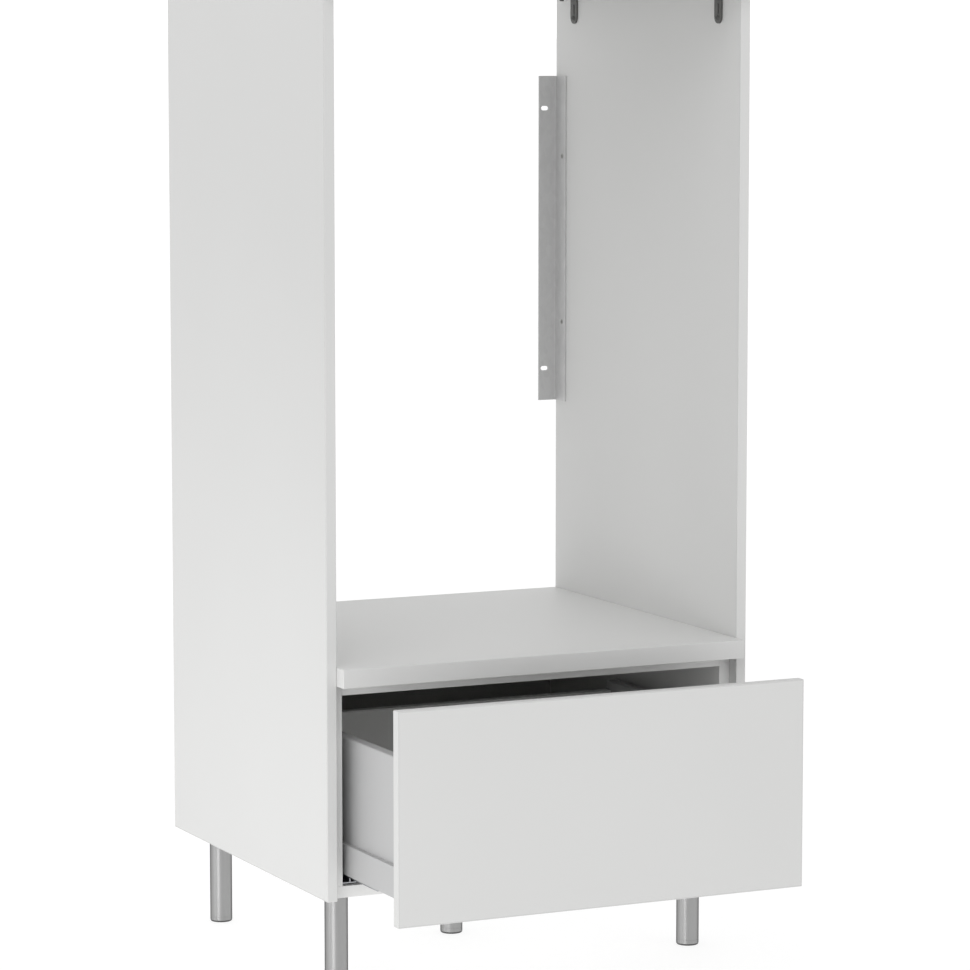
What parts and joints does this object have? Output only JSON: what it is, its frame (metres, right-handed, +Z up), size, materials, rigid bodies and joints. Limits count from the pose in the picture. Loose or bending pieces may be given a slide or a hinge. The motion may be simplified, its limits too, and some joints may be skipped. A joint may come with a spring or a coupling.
{
  "type": "washing machine cabinet",
  "caption": "Tall open-backed surround that raises a washing machine on a platform over one deep pull-out drawer, on round steel legs.",
  "frame": {"origin": "on the floor, at the axis of the centre leg, midway between the front and rear legs", "axes": "+Z up, +Y to the open back and the wall, +X to the right seen from the front"},
  "size_m": [0.64, 0.7635, 1.371],
  "materials": {
    "white_board": "white melamine on chipboard",
    "white_hardboard": "white thin board",
    "drawer_board": "light grey melamine on chipboard",
    "drawer_steel": "light grey powder coat",
    "zinc_steel": "zinc-plated steel",
    "angle_steel": "grey galvanised steel",
    "bracket_steel": "dark grey",
    "leg_steel": "satin steel",
    "screw_steel": "zinc-plated",
    "beech": "plain beech",
    "cage_plastic": "dark grey",
    "buffer_rubber": "soft clear grey"
  },
  "bodies": {
    "cabinet": {"side_panel_left": "white_board", "carcass_side_left": "white_board", "wall_angle_left": "angle_steel", "runner_track_left": "zinc_steel", "top_bracket_front_left": "bracket_steel", "top_bracket_rear_left": "bracket_steel", "side_panel_right": "white_board", "carcass_side_right": "white_board", "wall_angle_right": "angle_steel", "runner_track_right": "zinc_steel", "top_bracket_front_right": "bracket_steel", "top_bracket_rear_right": "bracket_steel", "carcass_rail_front": "white_board", "carcass_rail_rear": "white_board", "leg_plate_front_left": "zinc_steel", "leg_tube_front_left": "leg_steel", "leg_plate_front_right": "zinc_steel", "leg_tube_front_right": "leg_steel", "leg_plate_rear_left": "zinc_steel", "leg_tube_rear_left": "leg_steel", "leg_plate_rear_right": "zinc_steel", "leg_tube_rear_right": "leg_steel", "leg_plate_centre": "zinc_steel", "leg_tube_centre": "leg_steel", "platform_board": "white_board", "top_board": "white_board", "carcass_bottom": "white_board", "carcass_back": "white_hardboard", "carcass_dowels": "beech", "joining_screws": "screw_steel", "wall_angle_screws": "screw_steel", "top_bracket_screws": "bracket_steel", "leg_plate_screws": "screw_steel", "runner_screws": "screw_steel"},
    "drawer": {"drawer_side_band_left": "drawer_steel", "drawer_side_wall_left": "drawer_steel", "front_clip_left": "zinc_steel", "back_plate_left": "zinc_steel", "runner_drawer_member_left": "zinc_steel", "drawer_side_band_right": "drawer_steel", "drawer_side_wall_right": "drawer_steel", "front_clip_right": "zinc_steel", "back_plate_right": "zinc_steel", "runner_drawer_member_right": "zinc_steel", "drawer_front": "white_board", "drawer_bottom": "drawer_board", "drawer_back": "drawer_board", "front_buffers": "buffer_rubber", "drawer_screws": "screw_steel"},
    "runner_middle_left": {"runner_middle_left": "zinc_steel"},
    "roller_cage_lower_left": {"roller_cage_lower_left": "cage_plastic"},
    "roller_cage_upper_left": {"roller_cage_upper_left": "cage_plastic"},
    "runner_middle_right": {"runner_middle_right": "zinc_steel"},
    "roller_cage_lower_right": {"roller_cage_lower_right": "cage_plastic"},
    "roller_cage_upper_right": {"roller_cage_upper_right": "cage_plastic"},
    "foot_front_left": {"foot_front_left": "leg_steel"},
    "foot_front_right": {"foot_front_right": "leg_steel"},
    "foot_rear_left": {"foot_rear_left": "leg_steel"},
    "foot_rear_right": {"foot_rear_right": "leg_steel"},
    "foot_centre": {"foot_centre": "leg_steel"}
  },
  "joints": [
    {"name": "drawer_slide", "type": "slide", "parent": "cabinet", "child": "drawer", "axis": [0, -1, 0], "range_m": [-0.1965, 0.2585]},
    {"name": "runner_middle_left_slide", "type": "slide", "parent": "cabinet", "child": "runner_middle_left", "axis": [0, -1, 0], "range_m": [-0.09825, 0.12925]},
    {"name": "roller_cage_lower_left_slide", "type": "slide", "parent": "cabinet", "child": "roller_cage_lower_left", "axis": [0, -1, 0], "range_m": [-0.04913, 0.06463]},
    {"name": "roller_cage_upper_left_slide", "type": "slide", "parent": "cabinet", "child": "roller_cage_upper_left", "axis": [0, -1, 0], "range_m": [-0.14738, 0.19387]},
    {"name": "runner_middle_right_slide", "type": "slide", "parent": "cabinet", "child": "runner_middle_right", "axis": [0, -1, 0], "range_m": [-0.09825, 0.12925]},
    {"name": "roller_cage_lower_right_slide", "type": "slide", "parent": "cabinet", "child": "roller_cage_lower_right", "axis": [0, -1, 0], "range_m": [-0.04913, 0.06463]},
    {"name": "roller_cage_upper_right_slide", "type": "slide", "parent": "cabinet", "child": "roller_cage_upper_right", "axis": [0, -1, 0], "range_m": [-0.14738, 0.19387]},
    {"name": "foot_height_front_left", "type": "slide", "parent": "cabinet", "child": "foot_front_left", "axis": [0, 0, -1], "range_m": [0, 0.02]},
    {"name": "foot_height_front_right", "type": "slide", "parent": "cabinet", "child": "foot_front_right", "axis": [0, 0, -1], "range_m": [0, 0.02]},
    {"name": "foot_height_rear_left", "type": "slide", "parent": "cabinet", "child": "foot_rear_left", "axis": [0, 0, -1], "range_m": [0, 0.02]},
    {"name": "foot_height_rear_right", "type": "slide", "parent": "cabinet", "child": "foot_rear_right", "axis": [0, 0, -1], "range_m": [0, 0.02]},
    {"name": "foot_height_centre", "type": "slide", "parent": "cabinet", "child": "foot_centre", "axis": [0, 0, -1], "range_m": [0, 0.02]}
  ],
  "couplings": [
    {"joint": "runner_middle_left_slide", "follows": "drawer_slide", "ratio": 0.5},
    {"joint": "roller_cage_lower_left_slide", "follows": "drawer_slide", "ratio": 0.25},
    {"joint": "roller_cage_upper_left_slide", "follows": "drawer_slide", "ratio": 0.75},
    {"joint": "runner_middle_right_slide", "follows": "drawer_slide", "ratio": 0.5},
    {"joint": "roller_cage_lower_right_slide", "follows": "drawer_slide", "ratio": 0.25},
    {"joint": "roller_cage_upper_right_slide", "follows": "drawer_slide", "ratio": 0.75}
  ]
}
